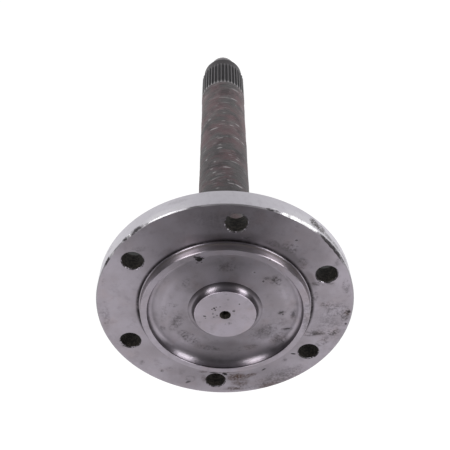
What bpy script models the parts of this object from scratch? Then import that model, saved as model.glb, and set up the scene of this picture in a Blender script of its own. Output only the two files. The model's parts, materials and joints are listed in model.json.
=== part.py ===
"""Flanged rear axle shaft of a tractor: one steel forging, machined at both ends.

The shaft carries a round wheel flange with six bolt holes, a raised pilot ring and a
centre boss at one end, and an external spline with a turned nose at the other.
It lies as it would on a bench: on the inboard edge of the flange and the edge of its neck.
Everything is drawn about the shaft's own axis, with z = 0 on the bolting face and z
growing towards the spline, and is then laid down in the world by one empty.
"""

from math import atan2, cos, pi, radians, sin, tan

import bmesh
import bpy
from mathutils import Matrix, Vector

# Wheel flange
FLANGE_RADIUS = 0.105
FLANGE_THICKNESS = 0.018
FLANGE_CHAMFER = 0.0008
FLANGE_ROOT_FILLET = 0.014

# Bolt holes, set in from the rim
BOLT_COUNT = 6
BOLT_TO_RIM = 0.017
BOLT_HOLE_RADIUS = 0.0085
BOLT_MOUTH_CHAMFER = 0.0008
BOLT_PHASE = radians(35.5)

# Pilot ring, which centres the wheel hub, set in from the bolt circle
PILOT_TO_BOLTS = 0.0186
PILOT_HEIGHT = 0.008
PILOT_WIDTH = 0.0059
PILOT_LEAD_LENGTH = 0.0045
PILOT_LEAD_STEP = 0.0006
PILOT_FOOT_FILLET = 0.0009
PILOT_EDGE_CHAMFER = 0.0004

# Recess inside the ring, as deep as this below the ring's top
RECESS_DEPTH = 0.0064
RECESS_FILLET = 0.0060
RECESS_STEP_WIDTH = 0.0131
RECESS_STEP_DEPTH = 0.0002

# Centre boss, standing on the floor of the recess
BOSS_RADIUS = 0.0252
BOSS_HEIGHT = 0.0059
BOSS_FILLET = 0.0054
BOSS_CHAMFER = 0.0003

# Forged bar
BAR_RADIUS = 0.0254
BAR_LENGTH = 0.3625

# Spline, cut into a land that stands a little above the bar
LAND_STEP = 0.0003
LAND_LEAD = 0.006
SPLINE_LENGTH = 0.0525
SPLINE_CHAMFER = 0.0008
TOOTH_COUNT = 38
TOOTH_DEPTH = 0.0015
FLANK_ANGLE = radians(30)
GROOVE_SHARE = 0.70
GROOVE_RUNOUT = 0.005

# Neck beyond the teeth, below their roots, and the nose
NECK_STEP = 0.0006
NECK_LENGTH = 0.016
NECK_CHAMFER = 0.0006
NOSE_RADIUS = 0.0155
NOSE_LENGTH = 0.025
NOSE_CHAMFER = 0.0020

# Lathe centres, one in the boss and one in the nose
CENTRE_MOUTH_RADIUS = 0.0046
CENTRE_DRILL_RADIUS = 0.0026
CENTRE_CONE_ANGLE = radians(30)
CENTRE_DEPTH = 0.012

# Facets of the turned shapes: each facet of the bar holds one tooth or one groove
FACETS = 2 * TOOTH_COUNT
HOLE_FACETS = 24
ARC_STEPS = 4
CUT_MARGIN = 0.001

# Places that follow from the sizes above
BOLT_CIRCLE_RADIUS = FLANGE_RADIUS - BOLT_TO_RIM
PILOT_RADIUS = BOLT_CIRCLE_RADIUS - PILOT_TO_BOLTS
RECESS_RADIUS = PILOT_RADIUS - PILOT_WIDTH
RECESS_STEP_RADIUS = RECESS_RADIUS - RECESS_STEP_WIDTH
RECESS_FLOOR = RECESS_DEPTH - PILOT_HEIGHT
BOSS_FACE = RECESS_FLOOR - BOSS_HEIGHT
LAND_RADIUS = BAR_RADIUS + LAND_STEP
ROOT_RADIUS = LAND_RADIUS - TOOTH_DEPTH
NECK_RADIUS = ROOT_RADIUS - NECK_STEP
SPLINE_END = BAR_LENGTH + SPLINE_LENGTH
NECK_END = SPLINE_END + NECK_LENGTH
NOSE_END = NECK_END + NOSE_LENGTH

STEEL_COLOR = (0.34, 0.33, 0.35, 1.0)
STEEL_ROUGHNESS = 0.38
STEEL_METALLIC = 1.0


def clear_scene():
    for obj in list(bpy.data.objects):
        bpy.data.objects.remove(obj, do_unlink=True)


def new_collection(name):
    collection = bpy.data.collections.new(name)
    bpy.context.scene.collection.children.link(collection)
    return collection


def arc(center, radius, start, end):
    """Points (r, z) along an arc in the profile's plane, from one angle to another."""
    points = []
    for step in range(ARC_STEPS + 1):
        angle = start + (end - start) * step / ARC_STEPS
        points.append((center[0] + radius * cos(angle), center[1] + radius * sin(angle)))
    return points


def centre_hole(face):
    """A lathe centre in a face at z = face: drill tip, drill and 60 degree cone, inside out."""
    into = -1 if face > 0 else 1
    cone = (CENTRE_MOUTH_RADIUS - CENTRE_DRILL_RADIUS) / tan(CENTRE_CONE_ANGLE)
    tip = CENTRE_DRILL_RADIUS * tan(CENTRE_CONE_ANGLE)
    return [
        (0, face + into * (CENTRE_DEPTH + tip)),
        (CENTRE_DRILL_RADIUS, face + into * CENTRE_DEPTH),
        (CENTRE_DRILL_RADIUS, face + into * cone),
        (CENTRE_MOUTH_RADIUS, face),
    ]


def shaft_end_profile():
    """Nose, neck, splined land and bar, from the nose's centre down to the flange."""
    return centre_hole(NOSE_END) + [
        (NOSE_RADIUS - NOSE_CHAMFER, NOSE_END),
        (NOSE_RADIUS, NOSE_END - NOSE_CHAMFER),
        (NOSE_RADIUS, NECK_END),
        (NECK_RADIUS - NECK_CHAMFER, NECK_END),
        (NECK_RADIUS, NECK_END - NECK_CHAMFER),
        (NECK_RADIUS, SPLINE_END),
        (LAND_RADIUS - SPLINE_CHAMFER, SPLINE_END),
        (LAND_RADIUS, SPLINE_END - SPLINE_CHAMFER),
        (LAND_RADIUS, BAR_LENGTH - LAND_LEAD),
        (BAR_RADIUS, BAR_LENGTH - LAND_LEAD - 2 * LAND_STEP),
    ]


def rim_profile():
    """Fillet under the flange, its inboard face and its rim."""
    fillet_center = (BAR_RADIUS + FLANGE_ROOT_FILLET, FLANGE_THICKNESS + FLANGE_ROOT_FILLET)
    return arc(fillet_center, FLANGE_ROOT_FILLET, pi, 1.5 * pi) + [
        (FLANGE_RADIUS - FLANGE_CHAMFER, FLANGE_THICKNESS),
        (FLANGE_RADIUS, FLANGE_THICKNESS - FLANGE_CHAMFER),
        (FLANGE_RADIUS, FLANGE_CHAMFER),
        (FLANGE_RADIUS - FLANGE_CHAMFER, 0),
    ]


def pilot_profile():
    """Bolting face, pilot ring with its lead-in taper, and the recess inside it."""
    lead = PILOT_RADIUS - PILOT_LEAD_STEP
    floor = RECESS_FLOOR + RECESS_STEP_DEPTH
    wall = (RECESS_RADIUS - RECESS_FILLET, floor - RECESS_FILLET)
    return [
        (PILOT_RADIUS + PILOT_FOOT_FILLET, 0),
        (PILOT_RADIUS, -PILOT_FOOT_FILLET),
        (PILOT_RADIUS, PILOT_LEAD_LENGTH - PILOT_HEIGHT),
        (lead, PILOT_EDGE_CHAMFER - PILOT_HEIGHT),
        (lead - PILOT_EDGE_CHAMFER, -PILOT_HEIGHT),
        (RECESS_RADIUS, -PILOT_HEIGHT),
    ] + arc(wall, RECESS_FILLET, 0, pi / 2) + [
        (RECESS_STEP_RADIUS, floor),
        (RECESS_STEP_RADIUS - RECESS_STEP_DEPTH, RECESS_FLOOR),
    ]


def boss_profile():
    """Fillet at the foot of the boss, its wall, its face and the lathe centre in it."""
    foot = (BOSS_RADIUS + BOSS_FILLET, RECESS_FLOOR - BOSS_FILLET)
    return arc(foot, BOSS_FILLET, pi / 2, pi) + [
        (BOSS_RADIUS, BOSS_FACE + BOSS_CHAMFER),
        (BOSS_RADIUS - BOSS_CHAMFER, BOSS_FACE),
    ] + centre_hole(BOSS_FACE)[::-1]


def axle_profile():
    return shaft_end_profile() + rim_profile() + pilot_profile() + boss_profile()


def turned(name, profile, steps, collection):
    """A closed solid turned from (r, z) points that run down its outer side."""
    mesh = bpy.data.meshes.new(name)
    edges = [(i, i + 1) for i in range(len(profile) - 1)]
    mesh.from_pydata([(r, 0, z) for r, z in profile], edges, [])
    obj = bpy.data.objects.new(name, mesh)
    collection.objects.link(obj)
    screw = obj.modifiers.new("Turn", "SCREW")
    screw.axis = "Z"
    screw.steps = steps
    screw.render_steps = steps
    screw.use_merge_vertices = True
    screw.merge_threshold = 0.00001
    return obj


def as_cutter(obj):
    obj.hide_render = True
    obj.display_type = "WIRE"


def add_bolt_hole_cutters(axle_frame, collection):
    """Six round cutters that flare at both faces of the flange, on the bolt circle."""
    flare = CUT_MARGIN + BOLT_MOUTH_CHAMFER
    mouth = BOLT_HOLE_RADIUS + flare
    top = FLANGE_THICKNESS + CUT_MARGIN
    profile = [
        (0, top),
        (mouth, top),
        (BOLT_HOLE_RADIUS, top - flare),
        (BOLT_HOLE_RADIUS, flare - CUT_MARGIN),
        (mouth, -CUT_MARGIN),
        (0, -CUT_MARGIN),
    ]
    first = None
    for index in range(BOLT_COUNT):
        name = f"bolt_hole_cutter_{index + 1}"
        if first is None:
            cutter = first = turned(name, profile, HOLE_FACETS, collection)
        else:
            cutter = first.copy()
            cutter.name = name
            collection.objects.link(cutter)
        angle = BOLT_PHASE + 2 * pi * index / BOLT_COUNT
        cutter.location = (BOLT_CIRCLE_RADIUS * cos(angle), BOLT_CIRCLE_RADIUS * sin(angle), 0)
        cutter.parent = axle_frame
        as_cutter(cutter)


def groove_width(radius):
    """Width of a groove between two teeth at a radius, from its mouth and its flank angle."""
    mouth = GROOVE_SHARE * 2 * pi * LAND_RADIUS / TOOTH_COUNT
    return mouth - 2 * (LAND_RADIUS - radius) * tan(FLANK_ANGLE)


def add_spline_cutter(axle_frame, collection):
    """All the grooves as one cutter: each bar has sloping flanks and rises out of the land."""
    inner = ROOT_RADIUS
    outer = LAND_RADIUS + CUT_MARGIN
    start = BAR_LENGTH + GROOVE_RUNOUT
    end = SPLINE_END + CUT_MARGIN
    bm = bmesh.new()
    bmesh.ops.create_cube(bm, size=1)
    for vert in bm.verts:
        radius = outer if vert.co.x > 0 else inner
        side = 1 if vert.co.y > 0 else -1
        depth = end if vert.co.z > 0 else start
        vert.co = Vector((radius, side * groove_width(radius) / 2, depth))
    start_face = min(bm.faces, key=lambda face: face.calc_center_median().z)
    runout = bmesh.ops.extrude_face_region(bm, geom=[start_face])
    bm.faces.remove(start_face)
    lifted = [item for item in runout["geom"] if isinstance(item, bmesh.types.BMVert)]
    bmesh.ops.translate(bm, verts=lifted, vec=(TOOTH_DEPTH, 0, -GROOVE_RUNOUT))
    pitch = 2 * pi / TOOTH_COUNT
    bmesh.ops.rotate(bm, verts=bm.verts, matrix=Matrix.Rotation(pitch / 2, 3, "Z"))
    bmesh.ops.spin(
        bm,
        geom=bm.verts[:] + bm.edges[:] + bm.faces[:],
        axis=(0, 0, 1),
        cent=(0, 0, 0),
        angle=2 * pi - pitch,
        steps=TOOTH_COUNT - 1,
        use_duplicate=True,
    )
    bmesh.ops.recalc_face_normals(bm, faces=bm.faces)
    mesh = bpy.data.meshes.new("spline_cutter")
    bm.to_mesh(mesh)
    bm.free()
    cutter = bpy.data.objects.new("spline_cutter", mesh)
    collection.objects.link(cutter)
    cutter.parent = axle_frame
    as_cutter(cutter)


def rest_angle(profile):
    """Slope of the axis when the shaft lies on the inboard edge of its rim and on its end."""
    edge = FLANGE_THICKNESS - FLANGE_CHAMFER
    flat = cos(pi / FACETS)
    return min(atan2((FLANGE_RADIUS - r) * flat, z - edge) for r, z in profile if z > FLANGE_THICKNESS)


def rest_matrix(profile):
    """Lays the axis along +Y, spline end down, on z = 0 with the box centred on the origin."""
    slope = rest_angle(profile)
    flat = cos(pi / FACETS)
    lowest = min(-z * sin(slope) - r * flat * cos(slope) for r, z in profile)
    front = min(z * cos(slope) - r * flat * sin(slope) for r, z in profile)
    back = max(z * cos(slope) + r * flat * sin(slope) for r, z in profile)
    place = Matrix.Translation((0, -(front + back) / 2, -lowest))
    return place @ Matrix.Rotation(-(pi / 2 + slope), 4, "X")


def steel():
    material = bpy.data.materials.new("forged_steel")
    material.use_nodes = True
    shader = material.node_tree.nodes["Principled BSDF"]
    shader.inputs["Base Color"].default_value = STEEL_COLOR
    shader.inputs["Roughness"].default_value = STEEL_ROUGHNESS
    shader.inputs["Metallic"].default_value = STEEL_METALLIC
    material.diffuse_color = STEEL_COLOR
    return material


def add_axle(axle_frame, parts, cutters):
    """The forging: turned all over, drilled for the bolts and splined at its end."""
    axle = turned("axle_shaft", axle_profile(), FACETS, parts)
    axle.parent = axle_frame
    axle.rotation_euler.z = pi / FACETS
    cut = axle.modifiers.new("Holes and grooves", "BOOLEAN")
    cut.operation = "DIFFERENCE"
    cut.operand_type = "COLLECTION"
    cut.collection = cutters
    cut.solver = "EXACT"
    axle.data.materials.append(steel())
    return axle


def main():
    clear_scene()
    parts = new_collection("tractor_rear_axle")
    cutters = new_collection("axle_cutters")
    axle_frame = bpy.data.objects.new("axle_frame", None)
    parts.objects.link(axle_frame)
    axle_frame.matrix_world = rest_matrix(axle_profile())
    add_bolt_hole_cutters(axle_frame, cutters)
    add_spline_cutter(axle_frame, cutters)
    add_axle(axle_frame, parts, cutters)


main()
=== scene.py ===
"""Looks of a tractor's rear axle shaft: a used forging with bare machined ends.

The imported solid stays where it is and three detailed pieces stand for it: the flange head,
the forged bar and the splined end. They are drawn about the shaft's own axis in
millimetres, with z = 0 on the bolting face and z growing towards the spline. Seen from
outside, x points right and y points down, so angles count clockwise from the right.
"""

import json
from math import asin, atan2, ceil, cos, hypot, pi, radians, sin, tan

import bpy
import numpy as np
from mathutils import Matrix, Vector


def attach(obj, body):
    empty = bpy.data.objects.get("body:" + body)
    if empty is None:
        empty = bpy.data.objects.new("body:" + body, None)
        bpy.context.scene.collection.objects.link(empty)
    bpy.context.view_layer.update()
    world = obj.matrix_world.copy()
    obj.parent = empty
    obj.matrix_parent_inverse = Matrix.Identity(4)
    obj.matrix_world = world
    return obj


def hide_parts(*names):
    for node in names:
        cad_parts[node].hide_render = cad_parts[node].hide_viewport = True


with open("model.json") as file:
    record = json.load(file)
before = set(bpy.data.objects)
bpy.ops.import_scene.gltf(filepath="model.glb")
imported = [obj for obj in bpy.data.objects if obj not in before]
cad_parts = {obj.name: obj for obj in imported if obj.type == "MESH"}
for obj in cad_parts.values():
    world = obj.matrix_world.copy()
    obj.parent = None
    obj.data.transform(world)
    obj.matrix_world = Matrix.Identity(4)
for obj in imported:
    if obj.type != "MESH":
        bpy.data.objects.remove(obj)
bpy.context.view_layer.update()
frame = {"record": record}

MM = 0.001
ANY_DEPTH = 1000.0

# Sizes of the solid, in millimetres; the edge of the pilot ring is worn a little wider than
# the solid's chamfer
FLANGE_RADIUS = 105.0
FLANGE_THICKNESS = 18.0
FLANGE_CHAMFER = 0.8
FLANGE_ROOT_FILLET = 14.0
BOLT_COUNT = 6
BOLT_CIRCLE_RADIUS = 88.0
BOLT_HOLE_RADIUS = 8.5
BOLT_MOUTH_CHAMFER = 0.8
BOLT_PHASE = radians(35.5)
PILOT_RADIUS = 69.4
PILOT_HEIGHT = 8.0
PILOT_LEAD_START = -3.5
PILOT_LEAD_RADIUS = 68.8
PILOT_FOOT_FILLET = 0.9
PILOT_EDGE_CHAMFER = 0.6
RECESS_RADIUS = 63.5
RECESS_FLOOR = -1.6
RECESS_FILLET = 6.0
RECESS_EDGE = 0.25
RECESS_STEP_RADIUS = 50.4
RECESS_STEP_WIDTH = 3.0
RECESS_STEP_DEPTH = 0.2
BOSS_RADIUS = 25.2
BOSS_FACE = -7.5
BOSS_FILLET = 5.4
BOSS_CHAMFER = 0.3
BAR_RADIUS = 25.4
BAR_LENGTH = 362.5
LAND_STEP = 0.3
LAND_LEAD = 6.0
SPLINE_END = 415.0
SPLINE_CHAMFER = 0.8
TOOTH_COUNT = 38
TOOTH_DEPTH = 1.5
FLANK_ANGLE = radians(30)
GROOVE_SHARE = 0.70
GROOVE_RUNOUT = 8.0
NECK_RADIUS = 23.6
NECK_END = 431.0
NECK_CHAMFER = 0.6
NOSE_RADIUS = 15.5
NOSE_END = 456.0
NOSE_CHAMFER = 2.0
CENTRE_MOUTH_RADIUS = 4.6
CENTRE_DRILL_RADIUS = 2.6
CENTRE_CONE_ANGLE = radians(30)
CENTRE_DEPTH = 12.0
CENTRE_CONE = (CENTRE_MOUTH_RADIUS - CENTRE_DRILL_RADIUS) / tan(CENTRE_CONE_ANGLE)
CENTRE_TIP = CENTRE_DRILL_RADIUS * tan(CENTRE_CONE_ANGLE)
LAND_RADIUS = BAR_RADIUS + LAND_STEP

# The solid's round shapes have flat sides; these pieces keep inside them
FLAT = cos(pi / (2 * TOOTH_COUNT))

# The camera: its lens, its turn against the shaft's axis, and where it sees the centre of
# the bolting face: right, down and ahead of it
SENSOR_WIDTH = 36.0
LENS = 57.974
CAMERA_PITCH = radians(37.184)
CAMERA_YAW = radians(-0.3795)
FACE_IN_VIEW = Vector((0.079, 68.359, 592.242))

# Finish of the mesh
FLANGE_COLUMNS = 600
BAR_COLUMNS = 224
HOLE_COLUMNS = 64
SHARP_ANGLE = radians(26)
ARC_STEP = radians(11)

# Where the flange head, the bar and the splined end meet, and how far they overlap
HEAD_END = 34.0
SPLINE_START = BAR_LENGTH - LAND_LEAD - 2 * LAND_STEP
OVERLAP = 0.4

# Knocks scooped out of the front edge of the rim: angle, half length along the edge in
# degrees, depth, and how far down the rim they reach
EDGE_NICKS = [
    (-129.9, 3.4, 1.5, 3.2),
    (-136.6, 1.5, 1.1, 2.2),
    (-151, 3, 1.2, 2.6),
    (-71.3, 1.3, 0.9, 1.8),
    (63.5, 1.6, 0.5, 1.2),
]

# Worn bevel on the same edge: angle of its middle, half length, reach on the face and the rim
EDGE_WEAR = [
    (-56.8, 9.6, 0.5, 2.8),
    (-36, 10.4, 1.2, 1.1),
    (-131, 8, 0.5, 0.4),
    (-150, 5, 0.6, 0.3),
]
EDGE_ZONE = 6.0

# Chip out of the inner edge of the pilot ring: angle, half length in degrees, width, depth
RING_CHIP = (-109.0, 3.6, 1.6, 1.4)

# Depths of the forged bar's hollows and of the roughness of its scale
HOLLOW_DEPTH = 0.16
SCALE_DEPTH = 0.05


def polar(radius, angle):
    return radius * cos(angle), radius * sin(angle)


def laid_down():
    """The shaft's own frame in the world, from the place and direction of its bolting face."""
    mounts = {mount["name"]: mount for mount in frame["record"]["mounts"]}
    outward = Vector(mounts["hub_face"]["axis"])
    point = Vector(mounts["hub_face"]["pos_m"])
    slope = asin(outward.z)
    rest_edge = FLANGE_THICKNESS - FLANGE_CHAMFER
    height = MM * (rest_edge * sin(slope) + FLANGE_RADIUS * FLAT * cos(slope))
    along = point.y + (point.z - height) * outward.z / outward.y
    return Matrix.Translation((0, along, height)) @ Matrix.Rotation(-(pi / 2 + slope), 4, "X")


SHAFT = laid_down()


def add_camera():
    """The photograph's camera, placed from where it sees the bolting face."""
    level = cos(CAMERA_YAW)
    axis = Vector((sin(CAMERA_YAW), -sin(CAMERA_PITCH) * level, cos(CAMERA_PITCH) * level))
    right = (Vector((1, 0, 0)) - axis * axis.x).normalized()
    down = axis.cross(right)
    seen = Matrix((right, down, axis)).transposed().to_4x4()
    seen.translation = FACE_IN_VIEW * MM
    flip = Matrix.Diagonal((1, -1, -1, 1))
    camera = bpy.data.objects.new("camera", bpy.data.cameras.new("camera"))
    camera.data.sensor_width = SENSOR_WIDTH
    camera.data.lens = LENS
    camera.data.clip_start = 0.02
    camera.data.clip_end = 50
    bpy.context.scene.collection.objects.link(camera)
    camera.matrix_world = SHAFT @ seen.inverted() @ flip
    bpy.context.scene.camera = camera


class Outline:
    """A turned shape's outline: points (r, z) in order, and the finish of each run between."""

    def __init__(self, r, z):
        self.points = [(r, z)]
        self.finishes = []

    def to(self, r, z, step, finish):
        """A straight run to (r, z) in even steps no longer than the one given."""
        start_r, start_z = self.points[-1]
        count = max(1, ceil(hypot(r - start_r, z - start_z) / step))
        for i in range(1, count + 1):
            part = i / count
            self.points.append((start_r + (r - start_r) * part, start_z + (z - start_z) * part))
            self.finishes.append(finish)

    def arc(self, centre, radius, start, end, finish):
        """A round run about a centre, from one angle in the profile's plane to another."""
        count = ceil(abs(end - start) / ARC_STEP)
        for i in range(count + 1):
            dr, dz = polar(radius, start + (end - start) * i / count)
            point = (centre[0] + dr, centre[1] + dz)
            if i or hypot(point[0] - self.points[-1][0], point[1] - self.points[-1][1]) > 0.01:
                self.points.append(point)
                self.finishes.append(finish)

    def grid(self, angles):
        """Radius and depth of the turned shape: one row a ring, one column an angle."""
        radius, depth = np.array(self.points).T
        return radius[:, None] + 0 * angles, depth[:, None] + 0 * angles


def revolved(name, radius, depth, angles, outline, materials):
    """A piece from rings of points: radius and depth have one row a ring, one column an angle.

    The first and last ring become one point each, so that the piece is closed.
    """
    rings, columns = radius.shape
    local = np.stack([radius * np.cos(angles), radius * np.sin(angles), depth], axis=-1) * MM
    world = local @ np.array(SHAFT.to_3x3()).T + np.array(SHAFT.translation)
    kept = np.arange(rings * columns).reshape(rings, columns)
    kept[0] = kept[0, 0]
    kept[-1] = kept[-1, 0]
    used = np.unique(kept)
    here = np.searchsorted(used, kept)
    beside = np.roll(here, -1, axis=1)
    faces = []
    for ring in range(rings - 1):
        sides = (here[ring], beside[ring], beside[ring + 1], here[ring + 1])
        corners = zip(*[side.tolist() for side in sides])
        faces += [list(dict.fromkeys(face)) for face in corners]
    mesh = bpy.data.meshes.new(name)
    mesh.from_pydata(world.reshape(-1, 3)[used].tolist(), [], faces)
    names = list(dict.fromkeys(outline.finishes))
    for finish in names:
        mesh.materials.append(materials[finish])
    slots = np.repeat([names.index(finish) for finish in outline.finishes], columns)
    mesh.polygons.foreach_set("material_index", slots.astype(np.int32))
    mesh.update()
    piece = bpy.data.objects.new(name, mesh)
    bpy.context.scene.collection.objects.link(piece)
    return piece


def finished(piece):
    """Smooth shading that keeps the turned edges crisp, and the piece's place in the frame."""
    piece.data.shade_smooth()
    piece.data.set_sharp_from_angle(angle=SHARP_ANGLE)
    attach(piece, "root")
    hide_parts("axle_shaft")


def even_angles(columns):
    return np.arange(columns) * 2 * pi / columns


def ripples(angles, along, seed, count, longest, shortest, around):
    """A smooth uneven field, about -1 to 1, that closes on itself round the shaft."""
    random = np.random.default_rng(seed)
    total = np.zeros(np.broadcast(angles, along).shape)
    for _ in range(count):
        waves = random.integers(0, around + 1)
        length = longest * (shortest / longest) ** random.random()
        turn, shift = random.random(2) * 2 * pi
        total = total + np.cos(waves * angles + turn) * np.cos(2 * pi * along / length + shift)
    return total / count**0.5


def turned_from(angle, middle):
    """Degrees from a middle angle, wrapped to half a turn either way."""
    return (np.degrees(angle) - middle + 180) % 360 - 180


def worn_front_edge(radius, depth, angles):
    """Spreads the bevel of the rim's front edge where it is worn, and scoops the nicks out."""
    ragged = 1 + 0.35 * ripples(angles, 0 * angles, 5, 14, 1, 1, 110)
    on_face = FLANGE_CHAMFER + 0 * angles
    on_rim = FLANGE_CHAMFER + 0 * angles
    for middle, half, face_reach, rim_reach in EDGE_WEAR:
        share = np.clip(1 - (np.abs(turned_from(angles, middle)) / half) ** 6, 0, 1)
        on_face = on_face + face_reach * share * ragged
        on_rim = on_rim + rim_reach * share * ragged
    jagged = 1 + 0.3 * ripples(angles, 0 * angles, 9, 16, 1, 1, 160)
    scoop = 0 * depth
    at_face = 0 * angles
    at_bevel = 0 * angles
    for middle, half, deep, reach in EDGE_NICKS:
        along = np.clip(1 - (turned_from(angles, middle) / half) ** 4, 0, 1)
        deep = deep * along * jagged
        scoop = np.maximum(scoop, deep * np.clip(1 - (depth / reach) ** 2, 0, 1))
        at_face = np.maximum(at_face, deep)
        at_bevel = np.maximum(at_bevel, deep * np.clip(1 - (on_rim / reach) ** 2, 0, 1))
    on_face = np.maximum(on_face, at_face + 0.05)
    inward = FLANGE_RADIUS - radius
    spare = EDGE_ZONE - FLANGE_CHAMFER
    on_flat = (depth < 0.001) & (inward < EDGE_ZONE) & (inward > FLANGE_CHAMFER - 0.001)
    on_bevel = (depth > -0.001) & (inward < FLANGE_CHAMFER) & (depth < FLANGE_CHAMFER)
    on_side = (inward < 0.001) & (depth >= FLANGE_CHAMFER) & (depth < EDGE_ZONE)
    share = inward / FLANGE_CHAMFER
    stretched = EDGE_ZONE - (EDGE_ZONE - inward) * (EDGE_ZONE - on_face) / spare
    lowered = EDGE_ZONE - (EDGE_ZONE - depth) * (EDGE_ZONE - on_rim) / spare
    new_inward = np.where(on_flat, stretched, inward)
    new_inward = np.where(on_bevel, at_bevel + share * (on_face - at_bevel), new_inward)
    new_inward = np.where(on_side, scoop, new_inward)
    new_depth = np.where(on_side, lowered, depth)
    new_depth = np.where(on_bevel, (1 - share) * on_rim, new_depth)
    return FLANGE_RADIUS - new_inward, new_depth


def chipped_ring(radius, depth, angles):
    """Breaks a chip out of the pilot ring's inner edge."""
    middle, half, width, deep = RING_CHIP
    off = turned_from(angles, middle) / half
    reach = width * np.clip(1.35 - 1.35 * np.abs(off - 0.3), 0, 1)
    on_top = (np.abs(depth + PILOT_HEIGHT) < 0.01) & (radius >= RECESS_RADIUS)
    hollow = np.clip(1 - (radius - RECESS_RADIUS) / np.maximum(reach, 0.01), 0, 1)
    return np.where(on_top & (reach > 0), depth + deep * hollow**0.6, depth)


def flange_outline():
    """The flange head, from the tip of the boss's lathe centre out and round to the bar."""
    shape = Outline(0, BOSS_FACE + CENTRE_DEPTH + CENTRE_TIP)
    shape.to(CENTRE_DRILL_RADIUS, BOSS_FACE + CENTRE_DEPTH, 9, "bore")
    shape.to(CENTRE_DRILL_RADIUS, BOSS_FACE + CENTRE_CONE, 4, "bore")
    shape.to(CENTRE_MOUTH_RADIUS, BOSS_FACE, 1.5, "bore")
    shape.to(BOSS_RADIUS - BOSS_CHAMFER, BOSS_FACE, 1.8, "boss")
    shape.to(BOSS_RADIUS, BOSS_FACE + BOSS_CHAMFER, 1, "boss")
    foot = (BOSS_RADIUS + BOSS_FILLET, RECESS_FLOOR - BOSS_FILLET)
    shape.arc(foot, BOSS_FILLET, pi, pi / 2, "boss_wall")
    shape.to(RECESS_STEP_RADIUS - RECESS_STEP_WIDTH / 2, RECESS_FLOOR, 3, "recess")
    floor = RECESS_FLOOR + RECESS_STEP_DEPTH
    shape.to(RECESS_STEP_RADIUS + RECESS_STEP_WIDTH / 2, floor, 0.6, "recess")
    wall = (RECESS_RADIUS - RECESS_FILLET, floor - RECESS_FILLET)
    shape.to(wall[0], floor, 2.4, "recess")
    shape.arc(wall, RECESS_FILLET, pi / 2, 0, "recess")
    shape.to(RECESS_RADIUS, RECESS_EDGE - PILOT_HEIGHT, 1, "recess")
    shape.to(RECESS_RADIUS + RECESS_EDGE, -PILOT_HEIGHT, 1, "ring")
    shape.to(PILOT_LEAD_RADIUS - PILOT_EDGE_CHAMFER, -PILOT_HEIGHT, 0.6, "ring")
    shape.to(PILOT_LEAD_RADIUS, PILOT_EDGE_CHAMFER - PILOT_HEIGHT, 1, "face")
    shape.to(PILOT_RADIUS, PILOT_LEAD_START, 1.4, "face")
    shape.to(PILOT_RADIUS, -PILOT_FOOT_FILLET, 1.5, "face")
    root = (PILOT_RADIUS + PILOT_FOOT_FILLET, -PILOT_FOOT_FILLET)
    shape.arc(root, PILOT_FOOT_FILLET, pi, pi / 2, "face")
    shape.to(FLANGE_RADIUS - EDGE_ZONE, 0, 2.8, "face")
    shape.to(FLANGE_RADIUS - FLANGE_CHAMFER, 0, 0.5, "face")
    shape.to(FLANGE_RADIUS, FLANGE_CHAMFER, 0.3, "edge")
    shape.to(FLANGE_RADIUS, EDGE_ZONE, 0.5, "rim")
    shape.to(FLANGE_RADIUS, FLANGE_THICKNESS - FLANGE_CHAMFER, 1.6, "rim")
    shape.to(FLANGE_RADIUS - FLANGE_CHAMFER, FLANGE_THICKNESS, 0.6, "rim")
    shape.to(BAR_RADIUS + FLANGE_ROOT_FILLET, FLANGE_THICKNESS, 5, "back")
    root = (BAR_RADIUS + FLANGE_ROOT_FILLET, FLANGE_THICKNESS + FLANGE_ROOT_FILLET)
    shape.arc(root, FLANGE_ROOT_FILLET, 1.5 * pi, pi, "back")
    shape.to(BAR_RADIUS, HEAD_END, 2, "back")
    shape.to(0, HEAD_END, 30, "back")
    return shape


def bolt_hole_cutters(materials):
    """Six cutters with chamfered mouths, for cutting the holes out of the flange."""
    flare = 1 + BOLT_MOUTH_CHAMFER
    mouth = BOLT_HOLE_RADIUS + flare
    top = FLANGE_THICKNESS + 1
    outline = Outline(0, -1)
    outline.to(mouth, -1, 20, "bore")
    outline.to(BOLT_HOLE_RADIUS, flare - 1, 9, "mouth")
    outline.to(BOLT_HOLE_RADIUS, top - flare, 9, "bore")
    outline.to(mouth, top, 9, "bore")
    outline.to(0, top, 20, "bore")
    angles = even_angles(HOLE_COLUMNS)
    radius, depth = outline.grid(angles)
    cutters = []
    for hole in range(BOLT_COUNT):
        cx, cy = polar(BOLT_CIRCLE_RADIUS, BOLT_PHASE + 2 * pi * hole / BOLT_COUNT)
        x = cx + radius * np.cos(angles)
        y = cy + radius * np.sin(angles)
        name = f"bolt_hole_cutter_{hole + 1}"
        around = (np.hypot(x, y), depth, np.arctan2(y, x))
        cutters.append(revolved(name, *around, outline, materials))
    return cutters


def drilled(piece, cutters):
    """Cuts the bolt holes and takes the cutters away."""
    holes = bpy.data.collections.new("bolt_hole_cutters")
    for cutter in cutters:
        holes.objects.link(cutter)
    cut = piece.modifiers.new("Bolt holes", "BOOLEAN")
    cut.operation = "DIFFERENCE"
    cut.operand_type = "COLLECTION"
    cut.collection = holes
    cut.solver = "EXACT"
    cut.material_mode = "TRANSFER"
    evaluated = piece.evaluated_get(bpy.context.evaluated_depsgraph_get())
    mesh = bpy.data.meshes.new_from_object(evaluated)
    piece.modifiers.clear()
    piece.data = mesh
    for cutter in cutters:
        bpy.data.objects.remove(cutter)
    bpy.data.collections.remove(holes)


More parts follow.
